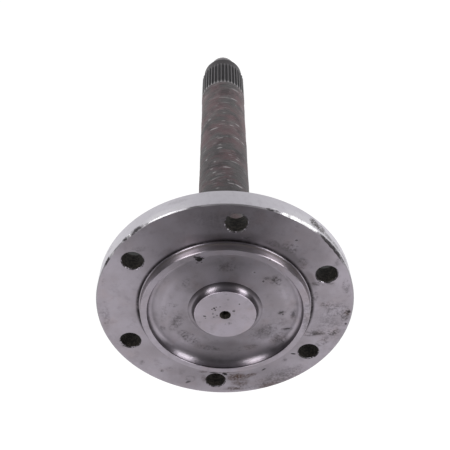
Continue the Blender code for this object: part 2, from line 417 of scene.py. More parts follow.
def add_flange(materials):
    """The flange head, with its edges worn and its holes cut."""
    outline = flange_outline()
    angles = even_angles(FLANGE_COLUMNS)
    radius, depth = worn_front_edge(*outline.grid(angles), angles)
    depth = chipped_ring(radius, depth, angles)
    piece = revolved("axle_flange", radius * FLAT, depth, angles, outline, materials)
    drilled(piece, bolt_hole_cutters(materials))
    finished(piece)


def add_bar(materials):
    """The bar as forged: never quite round, with shallow hollows all along it."""
    outline = Outline(0, HEAD_END - OVERLAP)
    outline.to(BAR_RADIUS - OVERLAP, HEAD_END - OVERLAP, 30, "bar")
    outline.to(BAR_RADIUS, HEAD_END + OVERLAP, 1, "bar")
    outline.to(BAR_RADIUS, SPLINE_START, 1.15, "bar")
    outline.to(0, SPLINE_START, 30, "bar")
    angles = even_angles(BAR_COLUMNS)
    radius, depth = outline.grid(angles)
    hollows = HOLLOW_DEPTH * (ripples(angles, depth, 3, 40, 160, 22, 5) - 1.2)
    scale = SCALE_DEPTH * ripples(angles, depth, 4, 60, 16, 5, 30)
    ends = np.clip((depth - HEAD_END) / 12, 0, 1) * np.clip((SPLINE_START - depth) / 6, 0, 1)
    worn = np.minimum(hollows + scale, 0) * ends
    radius = np.where(radius > 1, radius + worn, radius)
    piece = revolved("axle_bar", radius * FLAT, depth, angles, outline, materials)
    finished(piece)


def tooth_angles():
    """Columns that follow each tooth: close together where a flank meets its tip and root."""
    half = [0.11, 0.14, 0.155, 0.175, 0.23, 0.29, 0.335, 0.36, 0.42]
    phases = [0.0, *half, 0.5, *[1 - phase for phase in reversed(half)]]
    pitch = 2 * pi / TOOTH_COUNT
    return np.array([(tooth + phase) * pitch for tooth in range(TOOTH_COUNT) for phase in phases])


def groove_depth(angles):
    """Depth of a full groove at each angle: flat root, sloping flanks, rounded corners."""
    pitch = 2 * pi * LAND_RADIUS / TOOTH_COUNT
    phase = (angles * TOOTH_COUNT / (2 * pi)) % 1
    from_ridge = np.minimum(phase, 1 - phase) * pitch
    land = (1 - GROOVE_SHARE) * pitch / 2
    sloped = (from_ridge - land) / tan(FLANK_ANGLE)
    return np.clip(sloped, 0, TOOTH_DEPTH)


def spline_outline():
    """The splined end, from inside the bar to the tip of the nose's lathe centre."""
    shape = Outline(0, SPLINE_START - OVERLAP)
    shape.to(BAR_RADIUS - OVERLAP, SPLINE_START - OVERLAP, 30, "spline")
    shape.to(LAND_RADIUS, BAR_LENGTH - LAND_LEAD, 0.4, "bar")
    shape.to(LAND_RADIUS, BAR_LENGTH, 1.5, "bar")
    shape.to(LAND_RADIUS, BAR_LENGTH + GROOVE_RUNOUT, 0.4, "spline")
    shape.to(LAND_RADIUS, SPLINE_END - SPLINE_CHAMFER, 5, "spline")
    shape.to(LAND_RADIUS - SPLINE_CHAMFER, SPLINE_END, 0.4, "spline")
    shape.to(NECK_RADIUS, SPLINE_END, 0.5, "nose")
    shape.to(NECK_RADIUS, NECK_END - NECK_CHAMFER, 3, "nose")
    shape.to(NECK_RADIUS - NECK_CHAMFER, NECK_END, 0.5, "nose")
    shape.to(NOSE_RADIUS, NECK_END, 2, "nose")
    shape.to(NOSE_RADIUS, NOSE_END - NOSE_CHAMFER, 5, "nose")
    shape.to(NOSE_RADIUS - NOSE_CHAMFER, NOSE_END, 1, "nose")
    shape.to(CENTRE_MOUTH_RADIUS, NOSE_END, 2.5, "nose")
    shape.to(CENTRE_DRILL_RADIUS, NOSE_END - CENTRE_CONE, 1.5, "bore")
    shape.to(CENTRE_DRILL_RADIUS, NOSE_END - CENTRE_DEPTH, 5, "bore")
    shape.to(0, NOSE_END - CENTRE_DEPTH - CENTRE_TIP, 9, "bore")
    return shape


def add_spline(materials):
    """The splined end: the grooves rise out of the land along the hob's own curve."""
    outline = spline_outline()
    angles = tooth_angles()
    radius, depth = outline.grid(angles)
    runout = np.clip((depth - BAR_LENGTH) / GROOVE_RUNOUT, 0, 1)
    lifted = TOOTH_DEPTH * (1 - runout) ** 2
    grooves = np.clip(groove_depth(angles) - lifted, 0, None)
    splined = (depth >= BAR_LENGTH) & (depth <= SPLINE_END) & (radius > NECK_RADIUS + 0.01)
    radius = np.where(splined, np.minimum(radius, LAND_RADIUS - grooves), radius)
    piece = revolved("axle_spline_end", radius * FLAT, depth, angles, outline, materials)
    finished(piece)


# Colours of the bare and dirty steel, and of painted shade, as linear values
MACHINED = (0.40, 0.365, 0.415)
MACHINED_SHADE = (0.33, 0.297, 0.330)
MACHINED_WARM = (0.37, 0.318, 0.345)
RIM_STEEL = (0.62, 0.60, 0.65)
EDGE_STEEL = (0.40, 0.385, 0.41)
POLISHED = (0.80, 0.79, 0.81)
RAW_BACK = (0.17, 0.155, 0.160)
SCALE_GREY = (0.125, 0.118, 0.120)
SCALE_DARK_AND_SHADE = (0.042, 0.036, 0.040)
SCALE_RED = (0.190, 0.118, 0.128)
SCALE_PALE = (0.250, 0.225, 0.230)
RUBBED = (0.50, 0.475, 0.49)
SPLINE_STEEL = (0.135, 0.128, 0.140)
GROOVE_DIRT = (0.016, 0.014, 0.018)
RUST = (0.135, 0.086, 0.070)
RUST_DARK = (0.050, 0.026, 0.018)
BROWN_FILM_AND_SHADE = (0.16, 0.135, 0.115)
GRIME_AND_SHADE = (0.070, 0.062, 0.060)
BLACK = (0.012, 0.010, 0.011)
BORE_DARK = (0.014, 0.012, 0.011)
BORE_OIL = (0.050, 0.042, 0.036)
NOSE_STEEL = (0.33, 0.315, 0.33)

# Marks on the machined surfaces: x, y, half width, half height, turn in degrees, strength
FACE_BLACK = [
    (54.1, -71, 1.3, 0.7, 0, 0.8),
    (58.6, 53.9, 2.1, 0.8, 12, 1),
    (34, 73.6, 2.2, 0.8, -35, 0.8),
    (100.5, 17.9, 1, 1.3, 0, 0.7),
    (101.6, 4, 1.4, 1.6, 0, 0.8),
    (-33, 89.6, 2.4, 1.2, -25, 0.7),
    (-0.2, 79.3, 2.8, 1.5, 35, 0.95),
    (-10, 77.2, 4, 0.8, -6, 0.8),
    (-21, -60.8, 3.6, 1.2, 19, 0.9),
    (34, -58.4, 0.6, 0.8, 0, 0.9),
    (16, -73.2, 3.2, 0.9, 3, 0.8),
]
FACE_GRIME = [
    (48, 86, 26, 11, -32, 0.5),
    (66, 2, 4, 22, 0, 0.4),
    (88, 20, 14, 20, -20, 0.35),
    (-65.5, -62.6, 6.5, 3, -10, 0.35),
    (54.2, -84.4, 1.8, 1.8, 0, 0.5),
    (87.4, -48.8, 3.5, 5.5, 20, 0.35),
    (60.4, -44.4, 2.8, 2.4, 30, 0.5),
    (73.6, -26.2, 5, 2.2, 0, 0.5),
    (92.1, 1.9, 12, 9.5, 0, 0.5),
    (92.3, 25.8, 4, 2.6, -20, 0.6),
    (75.2, 28.1, 8, 3.4, -8, 0.6),
    (85, 35.4, 5, 3.6, -40, 0.5),
    (51.8, 61.7, 2.4, 2.6, 0, 0.45),
    (40.8, 93.5, 11, 5, -22, 0.6),
    (-72.4, 63.8, 2.4, 3.4, 30, 0.5),
    (-55.4, 74.6, 2, 1.9, 0, 0.75),
    (-48.7, 71.7, 3.4, 2.8, 0, 0.4),
    (-102, 4.3, 1.2, 1.5, 0, 0.5),
    (-99.7, 16, 1.5, 1.7, 0, 0.4),
    (-96.3, -29.6, 1.2, 4.4, 15, 0.4),
    (-30.5, 85.4, 5, 4, -20, 0.45),
    (35, 92.1, 2.6, 2.3, 0, 0.7),
    (50, -64, 9, 4.5, 35, 0.65),
    (37, -68, 6, 3, 25, 0.6),
    (60, -50, 4, 6, -30, 0.5),
    (72.5, -12.5, 3, 6, 0, 0.55),
    (83, -3.6, 7, 4, 10, 0.6),
    (99, 8, 5, 9, 10, 0.75),
    (76, 29.5, 10, 3.6, -6, 0.85),
    (90.7, 28.5, 6.5, 4.5, -30, 0.8),
    (82.6, 40, 7, 4, -35, 0.6),
    (97, -22, 3.5, 9, -10, 0.45),
    (73, -26.5, 5, 2.4, 0, 0.7),
    (84, -27, 4, 2, 0, 0.5),
    (0, -90, 30, 9, 0, 0.25),
    (-98, 8, 4, 14, 0, 0.35),
    (-86, 40, 8, 5, 40, 0.3),
    (62, 74, 9, 5, -40, 0.35),
    (12, 98, 16, 3, -4, 0.5),
]
FACE_RUST = [
    (4, 76.6, 9, 1.4, -4, 1),
    (10, 83.5, 10.5, 5, -12, 1),
    (20, 82, 8, 2.6, -20, 0.85),
    (14, 91, 8, 4.5, -6, 0.7),
    (8, 99, 8, 2.2, 0, 0.7),
    (38, 95, 11, 3.2, -22, 0.55),
    (-19.5, 76.4, 4, 1.4, 0, 0.7),
    (-19, 85, 2.2, 5, 0, 0.45),
    (101, 4.5, 3, 4, 0, 0.6),
]
# Painted shade: darker at the bottom of the face, at its upper right, and in a band just outside
# the pilot ring
FACE_SHADE = [
    (-34, 84, 26, 12, 20, 0.17),
    (34, 84, 26, 13, -20, 0.22),
    (66, -52, 15, 16, 30, 0.2),
    (46.5, -57.5, 22, 6, 40, 0.42),
    (67, -31.5, 12, 4.5, 65, 0.38),
    (0, -73.5, 30, 5, 0, 0.25),
]
FACE_MARKS = {"black": FACE_BLACK, "grime": FACE_GRIME, "rust": FACE_RUST, "shade": FACE_SHADE}
RECESS_BLACK = [
    (-21.3, -55.1, 4.7, 1.7, 1, 3),
    (-19.9, -53.7, 2.5, 2.3, 0, 3),
    (22.8, -40.3, 0.9, 0.9, 0, 0.7),
    (30.2, -31, 0.9, 1, 0, 0.75),
    (45.6, 3.2, 2.6, 0.9, -30, 0.7),
    (51.5, 22.1, 3, 0.8, -8, 0.75),
    (-21.7, -50.2, 1.1, 0.8, 0, 0.7),
    (-18.2, -50.8, 0.8, 0.8, 0, 0.7),
    (55.7, 4.9, 1.2, 2.4, 10, 0.5),
    (47.4, 5.2, 0.8, 1, 0, 0.6),
]
RECESS_GRIME = [
    (40, -31.5, 6, 5, 20, 0.8),
    (33.8, -33.8, 4.5, 3, 0, 0.55),
    (1.4, -45.6, 9, 5, 0, 0.45),
    (-43.9, -5.6, 5.5, 2.4, 0, 0.5),
    (-40.3, 12.8, 5.5, 12, 25, 0.6),
    (-52.3, 20.9, 2.6, 3, 0, 0.6),
    (-31.1, -30, 3.4, 6, 20, 0.5),
    (56, 6, 3, 6, 0, 0.65),
    (-31, 31, 11, 5, 38, 0.75),
    (-14, 44.5, 11, 3, 14, 0.5),
    (35, 24, 13, 9, -30, 0.55),
    (45, 33, 8, 8, -40, 0.55),
    (46.4, 3, 5, 3, -20, 0.55),
    (50.8, 22.2, 6, 2, -8, 0.55),
    (46, 14, 8, 6, 0, 0.35),
    (20, 44, 14, 3.5, -18, 0.45),
    (-50, 4, 3, 9, 8, 0.35),
]
# Painted shade: the recess floor darker towards its bottom, and a little towards its top
RECESS_SHADE = [
    (0, 47, 46, 12, 0, 0.36),
    (0, -46, 26, 9, 0, 0.10),
]
RECESS_MARKS = {"black": RECESS_BLACK, "grime": RECESS_GRIME, "shade": RECESS_SHADE}
BOSS_BLACK = [
    (-8.8, -7.7, 1, 1.1, -30, 1),
    (-16.7, 1.1, 1.3, 0.7, 15, 1),
    (11.4, -12, 0.7, 0.7, 0, 0.9),
    (-4.1, -9.2, 0.8, 0.7, 0, 0.6),
    (-9.9, -1.5, 0.9, 1.2, 0, 0.5),
    (-8, -5.6, 0.9, 0.7, 0, 0.9),
    (-7.2, -8.8, 0.6, 0.6, 0, 0.8),
    (-10.6, -6.4, 0.6, 0.7, 0, 0.8),
    (-9.2, 2.2, 0.9, 0.7, 0, 0.7),
    (-6.6, 0.4, 0.6, 0.8, 0, 0.8),
    (6.9, -4.4, 1.1, 1, 0, 0.75),
    (-16, 3.4, 0.7, 0.7, 0, 0.5),
]
BOSS_GRIME = [
    (2.5, -16.8, 1, 1.1, 0, 0.6),
    (7.5, -5.3, 0.9, 1.2, 0, 0.5),
    (3, 9.8, 3.2, 1.5, -20, 0.6),
    (0.5, -22.9, 1.6, 0.9, 0, 0.4),
]
BOSS_MARKS = {"black": BOSS_BLACK, "grime": BOSS_GRIME, "shade": []}

# Marks on the rim: angle, z, half length along the rim in millimetres, half width along z,
# strength
# Gouges, drawn dark; the long mark at -38 degrees is painted shade along the front edge
RIM_GOUGES_AND_SHADE = [
    (-129.6, 1.9, 6, 1.7, 0.95),
    (-131.8, 0.8, 2.4, 1.2, 0.8),
    (-136.7, 1.1, 2.6, 1.3, 0.95),
    (-151.2, 1.3, 5.2, 1.7, 1),
    (-71.6, 0.8, 3.4, 1, 0.95),
    (-68.6, 1.4, 1.6, 0.9, 0.7),
    (-102.5, 0.3, 6, 0.7, 0.6),
    (-38, 0.6, 20, 1.5, 0.95),
    (63.5, 0.5, 3, 0.8, 0.7),
]
RIM_SCUFFS = [
    (-49.4, 11.2, 4.4, 4, 1),
    (-48.2, 8.9, 5.2, 3.6, 1),
    (-46, 6.8, 5.2, 3, 1),
    (-50.5, 9, 3.4, 4.6, 0.9),
    (-44.5, 10.5, 4, 3.6, 0.8),
    (-41, 6.4, 6.4, 3.2, 0.7),
    (-35, 6, 8, 3.4, 0.6),
    (-26, 7, 9, 3.4, 0.5),
    (-110, 12, 9, 2.2, 0.15),
    (-150, 11, 6, 2, 0.2),
]
# Polished wear; the wide soft marks at -118, -110 and -56 degrees are painted highlights
RIM_POLISH_AND_HIGHLIGHT = [
    (-61, 1.4, 10, 2.4, 0.95),
    (-52.5, 2.2, 9.5, 2, 0.8),
    (-69.6, 3, 2.8, 0.7, 0.9),
    (-134.3, 1.2, 3, 1.4, 0.6),
    (-118, 1, 15, 6, 0.5),
    (-110, 2, 12, 5, 0.25),
    (-56, 5, 16, 6, 0.25),
    (-146, 0.6, 3, 1, 0.5),
]

# Painted shade on the round walls of the recess and the boss: depths between which it thickens at
# their left and right, and in a line all round; the share of the line that the lower half
# keeps; and the strength of a thin even layer of it
RECESS_WALL_SHADE = {"sides": (-2.4, -5.2), "line": (-6.0, -6.9), "lower": 1.0, "film_and_shade": 0.2}
BOSS_WALL_SHADE = {"sides": (-1.8, -3.6), "line": (-3.4, -1.4), "lower": 0.15, "film_and_shade": 0.0}

# Bright strokes rubbed round the bar: middle angle, z, half length in degrees, half width,
# slant, strength
BAR_STROKES = [
    (-90, 323.5, 17, 0.9, 0, 0.5),
    (-61, 324.3, 13, 1.3, 0, 0.9),
    (-85, 311.3, 15, 0.8, 0, 0.6),
    (-56, 350, 20, 2.2, 0.5, 0.5),
    (-128, 279.8, 6, 2.2, 0, 0.6),
    (-114, 254.5, 13, 1.6, 0, 0.9),
    (-96, 260.8, 12, 0.9, 0, 0.4),
    (-70, 260.4, 6, 1.2, 0, 0.9),
    (-52, 267.5, 9, 1.3, -0.3, 0.8),
    (-88, 287, 5, 1, 0, 0.4),
    (-90, 267.8, 7, 1.2, 0, 0.6),
    (-98, 232, 10, 1.5, 0.15, 0.5),
    (-56, 237.4, 14, 1.1, 0, 0.9),
    (-36, 237.1, 10, 1.2, 0, 0.8),
    (-100, 211.9, 8, 1.3, 0.2, 0.9),
    (-99, 218.6, 5, 0.9, 0, 0.7),
    (-74, 199, 7, 0.8, 0, 0.5),
    (-56, 194.5, 8, 1, 0, 0.7),
    (-65, 187.5, 15, 0.9, 0, 0.6),
    (-135, 199.6, 4, 1.8, 0, 0.8),
    (-111, 187.6, 4, 1.1, 0, 0.7),
    (-85, 174.7, 13, 0.9, 0, 0.9),
    (-120, 176.1, 6, 1.2, 0, 0.7),
    (-112, 167.7, 6, 1.3, 0.1, 0.8),
    (-75, 147.2, 10, 1, 0.1, 0.7),
    (-55, 147.5, 12, 1.2, -0.1, 0.9),
    (-80, 151.9, 4, 1, 0, 0.6),
    (-104, 139, 6, 0.9, 0, 0.6),
]


class Nodes:
    """A node tree, with short calls that add a node and wire its inputs."""

    def __init__(self, tree):
        self.tree = tree

    def wire(self, value, socket):
        if isinstance(value, bpy.types.NodeSocket):
            self.tree.links.new(value, socket)
        elif value is not None:
            socket.default_value = value

    def node(self, kind, inputs=(), **settings):
        node = self.tree.nodes.new(kind)
        for key, value in settings.items():
            setattr(node, key, value)
        for key, value in dict(inputs).items():
            self.wire(value, node.inputs[key])
        return node

    def math(self, operation, a, b=None):
        return self.node("ShaderNodeMath", {0: a, 1: b}, operation=operation).outputs[0]

    def add(self, a, b):
        return self.math("ADD", a, b)

    def times(self, a, b):
        return self.math("MULTIPLY", a, b)

    def less(self, a, b):
        return self.math("SUBTRACT", a, b)

    def most(self, values):
        result = 0.0
        for value in values:
            result = self.math("MAXIMUM", result, value)
        return result

    def ramp(self, value, low, high, to_low=0.0, to_high=1.0):
        """A smooth step of the value between two limits."""
        inputs = {0: value, 1: low, 2: high, 3: to_low, 4: to_high}
        node = self.node("ShaderNodeMapRange", inputs, interpolation_type="SMOOTHSTEP")
        return node.outputs[0]

    def vector(self, operation, a, b=None, scale=None):
        inputs = {0: a, 1: b, 3: scale}
        return self.node("ShaderNodeVectorMath", inputs, operation=operation).outputs["Vector"]

    def length(self, vector):
        node = self.node("ShaderNodeVectorMath", {0: vector}, operation="LENGTH")
        return node.outputs["Value"]

    def split(self, vector):
        return self.node("ShaderNodeSeparateXYZ", {0: vector}).outputs

    def joined(self, x, y, z):
        return self.node("ShaderNodeCombineXYZ", {0: x, 1: y, 2: z}).outputs[0]


class Steel(Nodes):
    """A steel's material, with the point in the shaft's own frame and what is drawn there."""

    def __init__(self, name):
        self.material = bpy.data.materials.new(name)
        self.material.use_nodes = True
        super().__init__(self.material.node_tree)
        self.shader = self.tree.nodes["Principled BSDF"]
        self.place = self.shaft_place()
        self.x, self.y, self.z = self.split(self.place)
        self.r = self.math("SQRT", self.add(self.times(self.x, self.x), self.times(self.y, self.y)))

    def noise(self, vector, scale, detail=4.0, roughness=0.5):
        inputs = {"Vector": vector, "Scale": scale, "Detail": detail, "Roughness": roughness}
        return self.node("ShaderNodeTexNoise", inputs).outputs["Fac"]

    def mapped(self, vector, place, turn, size):
        """The vector as seen from a place that is turned and scaled."""
        inputs = {"Vector": vector, "Location": place, "Rotation": turn, "Scale": size}
        return self.node("ShaderNodeMapping", inputs, vector_type="TEXTURE").outputs[0]

    def mix(self, share, a, b):
        """A colour between a and b; plain colours are given as three values."""
        inputs = {0: share}
        for index, colour in ((6, a), (7, b)):
            inputs[index] = (*colour, 1.0) if isinstance(colour, tuple) else colour
        return self.node("ShaderNodeMix", inputs, data_type="RGBA").outputs[2]

    def shaft_place(self):
        """The point in the shaft's own frame, in millimetres."""
        world = self.node("ShaderNodeTexCoord").outputs["Object"]
        return self.mapped(world, SHAFT.translation, SHAFT.to_euler(), (MM, MM, MM))

    def round_tangent(self):
        """The direction round the shaft at each point, which the lathe's fine grooves follow."""
        point = self.node("ShaderNodeNewGeometry").outputs["Position"]
        arm = self.vector("SUBTRACT", point, tuple(SHAFT.translation))
        axis = SHAFT.to_3x3() @ Vector((0, 0, 1))
        return self.vector("NORMALIZE", self.vector("CROSS_PRODUCT", tuple(axis), arm))

    def spot(self, mark, ragged, z=0.0, reach=None):
        """One mark: an oval with an uneven edge, as a share of its strength.

        With a reach it also ends that far from its plane z.
        """
        x, y, half_width, half_height, turn, strength = mark
        size = (half_width, half_height, reach or ANY_DEPTH)
        local = self.mapped(self.place, (x, y, z), (0, 0, radians(turn)), size)
        distance = self.add(self.length(local), ragged)
        return self.ramp(distance, 1.25, 0.55, 0.0, strength)

    def spots(self, marks, ragged):
        """The strongest of the marks at each point."""
        return self.most([self.spot(mark, ragged) for mark in marks])

    def rim_spots(self, marks, ragged):
        """Marks on the rim, long round it, as the strongest share at each point."""
        shares = []
        for angle, z, half_length, half_width, strength in marks:
            x, y = polar(FLANGE_RADIUS, radians(angle))
            mark = (x, y, half_length, 8.0, angle + 90, strength)
            shares.append(self.spot(mark, ragged, z, half_width))
        return self.most(shares)

    def painted_wall_shade(self, sides, line, lower, film_and_shade):
        """A share for the painted shade on a round wall."""
        sideways = self.math("DIVIDE", self.math("ABSOLUTE", self.x), self.r)
        beside = self.times(self.ramp(sideways, 0.58, 0.88), self.ramp(self.z, *sides, 0.0, 0.8))
        thin = self.ramp(self.z, RECESS_FLOOR + RECESS_STEP_DEPTH - 0.3, -3.6, 0.0, film_and_shade)
        height = self.math("DIVIDE", self.y, self.r)
        kept = self.ramp(height, 0.1, -0.6, lower, 1.0)
        return self.most([beside, thin, self.times(self.ramp(self.z, *line, 0.0, 0.8), kept)])

    def wall_of_ring(self):
        """A share that marks the outer wall of the pilot ring."""
        on_wall = self.ramp(self.r, PILOT_LEAD_RADIUS * FLAT - 0.3, PILOT_LEAD_RADIUS * FLAT)
        lower = self.ramp(self.z, PILOT_LEAD_START - 1.0, PILOT_LEAD_START + 0.6, 0.35, 1.0)
        lines = self.noise(self.joined(self.z, 7.0, 0.0), 1.1, 1.0)
        lower = self.times(lower, self.ramp(lines, 0.35, 0.6, 0.45, 1.0))
        return self.times(self.times(on_wall, lower), self.ramp(self.z, -0.8, -1.4))

    def ring_foot_shade(self):
        """A share that marks the face just outside the pilot ring, where painted shade darkens the
        corner.
        """
        inner = (PILOT_RADIUS + PILOT_FOOT_FILLET) * FLAT
        return self.times(
            self.ramp(self.r, inner - 0.2, inner + 0.1), self.ramp(self.r, inner + 3.4, inner + 0.9)
        )

    def turned(self, amount):
        """Gloss drawn out round the shaft by the lathe's grooves."""
        tangent = self.round_tangent()
        return {"anisotropic": amount, "anisotropic_rotation": 0.25, "tangent": tangent}

    def finish(self, **inputs):
        for key, value in inputs.items():
            name = key.replace("_", " ").title().replace("Ior", "IOR")
            self.wire(value, self.shader.inputs[name])
        return self.material


def turning_marks(graph):
    """Fine rings left by the lathe, as a share from 0 to 1."""
    fine = graph.noise(graph.joined(graph.r, 0.0, graph.z), 1.6, 2.0)
    broad = graph.noise(graph.joined(graph.r, 3.0, graph.times(graph.z, 0.5)), 0.35, 1.0)
    return graph.add(graph.times(fine, 0.6), graph.times(broad, 0.4))


def bump(graph, height, strength, distance):
    inputs = {"Height": height, "Strength": strength, "Distance": distance}
    return graph.node("ShaderNodeBump", inputs).outputs["Normal"]


def machined_steel(name, tone, marks, anisotropic, roughness, wall=None):
    """Turned steel: lavender grey, stained and knocked, with the lathe's fine rings.

    Patches of painted shade darken it, and a round wall also gets painted shade of its own.
    """
    graph = Steel(name)
    rings = turning_marks(graph)
    cloud = graph.noise(graph.place, 0.035, 5.0, 0.6)
    warm = graph.noise(graph.vector("ADD", graph.place, (50.0, 20.0, 0.0)), 0.05, 4.0, 0.6)
    mottle = graph.noise(graph.place, 0.11, 6.0, 0.68)
    grain = graph.noise(graph.place, 0.42, 5.0, 0.7)
    ragged = graph.times(graph.less(grain, 0.5), 1.5)
    smeared = graph.times(graph.less(mottle, 0.5), 2.8)
    stained = graph.spots(marks["grime"], smeared)
    black = graph.math("MINIMUM", graph.spots(marks["black"], ragged), 1.0)
    shade = graph.spots(marks["shade"], graph.times(smeared, 0.3))
    dirt = graph.times(stained, graph.ramp(graph.add(mottle, grain), 0.84, 1.16))
    faint = graph.times(graph.ramp(mottle, 0.5, 0.72), 0.2)
    colour = graph.mix(graph.ramp(cloud, 0.35, 0.7), MACHINED, MACHINED_SHADE)
    colour = graph.mix(graph.times(graph.ramp(warm, 0.5, 0.7), 0.6), colour, MACHINED_WARM)
    colour = graph.mix(graph.times(rings, 0.14), colour, MACHINED_SHADE)
    colour = graph.vector("SCALE", colour, scale=tone)
    # Painted shade from the shade ovals
    colour = graph.mix(shade, colour, GRIME_AND_SHADE)
    colour = graph.mix(graph.most([dirt, faint]), colour, GRIME_AND_SHADE)
    dull = graph.most([graph.times(dirt, 0.5), black])
    plain = black
    if wall:
        # Painted shade on a round wall: darker at its left and right, in a line round it, and in a
        # thin layer
        shaded_wall = graph.painted_wall_shade(**wall)
        colour = graph.mix(shaded_wall, colour, SCALE_DARK_AND_SHADE)
        dull = graph.most([dull, graph.times(shaded_wall, 0.5)])
    if "rust" in marks:
        rusted = graph.spots(marks["rust"], smeared)
        rust = graph.times(rusted, graph.ramp(graph.add(mottle, grain), 0.72, 1.18))
        speckled = graph.mix(graph.ramp(grain, 0.50, 0.66), RUST, RUST_DARK)
        # Brown film and painted shade on the pilot ring's outer wall, heaviest on its lower part,
        # and painted shade in the corner at the ring's foot
        film_and_shade = graph.times(graph.wall_of_ring(), 0.75)
        foot = graph.times(graph.ring_foot_shade(), graph.ramp(mottle, 0.25, 0.55, 0.6, 1.0))
        colour = graph.mix(film_and_shade, colour, BROWN_FILM_AND_SHADE)
        colour = graph.mix(foot, colour, SCALE_DARK_AND_SHADE)
        colour = graph.mix(rust, colour, speckled)
        dull = graph.most([dull, rust, graph.times(foot, 0.6), graph.times(film_and_shade, 0.3)])
        plain = graph.most([black, rust, graph.times(film_and_shade, 0.6)])
    colour = graph.mix(black, colour, BLACK)
    spread = graph.add(graph.add(roughness, graph.times(rings, 0.07)), graph.times(dull, 0.35))
    height = graph.add(graph.times(rings, 0.25), graph.times(black, -3.0))
    height = graph.add(height, graph.times(grain, 0.25))
    return graph.finish(
        base_color=colour,
        metallic=graph.less(1.0, graph.times(plain, 0.85)),
        roughness=spread,
        **graph.turned(anisotropic),
        normal=bump(graph, height, 0.35, 0.0001),
    )


def rim_steel(name, tone, roughness):
    """The rim: brighter from its last cut, polished and gouged along its front edge, with painted
    highlights and painted shade there too.
    """
    graph = Steel(name)
    fine = graph.noise(graph.joined(graph.z, graph.r, 0.0), 1.8, 2.0)
    mottle = graph.noise(graph.place, 0.22, 6.0, 0.65)
    speck = graph.noise(graph.place, 0.9, 4.0, 0.75)
    ragged = graph.times(graph.less(graph.noise(graph.place, 0.7, 5.0, 0.7), 0.5), 2.0)
    gouged_and_shaded = graph.rim_spots(RIM_GOUGES_AND_SHADE, ragged)
    shine = graph.rim_spots(RIM_POLISH_AND_HIGHLIGHT, ragged)
    scuff = graph.times(graph.rim_spots(RIM_SCUFFS, ragged), graph.ramp(speck, 0.38, 0.52))
    worn = graph.times(graph.ramp(mottle, 0.45, 0.75), 0.22)
    colour = graph.mix(worn, tone, MACHINED_SHADE)
    # Polished wear and painted highlights
    colour = graph.mix(shine, colour, POLISHED)
    colour = graph.mix(scuff, colour, GRIME_AND_SHADE)
    # Gouges drawn dark, and painted shade along the front edge
    colour = graph.mix(gouged_and_shaded, colour, SCALE_DARK_AND_SHADE)
    dull = graph.most([scuff, gouged_and_shaded])
    sheen = graph.less(graph.times(fine, 0.1), graph.times(shine, roughness - 0.26))
    return graph.finish(
        base_color=colour,
        metallic=graph.less(1.0, graph.times(dull, 0.7)),
        roughness=graph.add(graph.add(sheen, roughness), graph.times(dull, 0.3)),
        **graph.turned(0.4),
        normal=bump(graph, graph.add(graph.times(fine, 0.3), mottle), 0.25, 0.0001),
    )


def back_steel():
    """The inboard side of the flange: coarser turning, oil and light rust near the bar."""
    graph = Steel("flange_back_steel")
    rings = turning_marks(graph)
    mottle = graph.noise(graph.place, 0.12, 7.0, 0.65)
    near_bar = graph.ramp(graph.r, 62.0, 34.0)
    colour = graph.mix(graph.times(rings, 0.3), RAW_BACK, MACHINED_SHADE)
    colour = graph.mix(graph.ramp(mottle, 0.40, 0.75, 0.0, 0.6), colour, GRIME_AND_SHADE)
    colour = graph.mix(near_bar, colour, graph.mix(mottle, SCALE_DARK_AND_SHADE, SCALE_RED))
    return graph.finish(
        base_color=colour,
        metallic=graph.ramp(near_bar, 0.0, 1.0, 0.9, 0.45),
        roughness=graph.add(0.38, graph.times(mottle, 0.22)),
        **graph.turned(0.3),
        normal=bump(graph, graph.add(rings, graph.times(mottle, 2.0)), 0.4, 0.0002),
    )


def bore_steel():
    """Drilled walls: near black, partly from oil and partly as painted shade, and glossy."""
    graph = Steel("drilled_steel")
    mottle = graph.noise(graph.place, 0.5, 5.0, 0.6)
    return graph.finish(
        base_color=graph.mix(graph.ramp(mottle, 0.4, 0.65), BORE_DARK, BORE_OIL),
        metallic=0.0,
        specular_ior_level=0.12,
        roughness=graph.add(0.5, graph.times(mottle, 0.16)),
        normal=bump(graph, mottle, 0.4, 0.0003),
    )


def mouth_steel():
    """The chamfered mouths of the bolt holes: caked with dirt, bare where they were knocked."""
    graph = Steel("mouth_steel")
    caked = graph.noise(graph.place, 0.30, 5.0, 0.65)
    grain = graph.noise(graph.place, 0.9, 4.0, 0.6)
    colour = graph.mix(graph.ramp(caked, 0.47, 0.60), SCALE_DARK_AND_SHADE, MACHINED)
    colour = graph.mix(graph.ramp(caked, 0.62, 0.70), colour, POLISHED)
    return graph.finish(
        base_color=colour,
        metallic=graph.ramp(caked, 0.47, 0.60, 0.2, 0.95),
        roughness=0.42,
        normal=bump(graph, grain, 0.5, 0.0003),
    )


def stroke(graph, around, mark, ragged):
    """One rubbed stroke on the bar, long round the shaft and narrow along it."""
    angle, z, half_angle, half_width, slant, strength = mark
    place = (BAR_RADIUS * radians(angle), z, 0)
    size = (BAR_RADIUS * radians(half_angle), half_width, 1.0)
    local = graph.mapped(around, place, (0, 0, atan2(slant, 1) * 0.5), size)
    distance = graph.add(graph.length(local), ragged)
    return graph.ramp(distance, 1.1, 0.35, 0.0, strength)


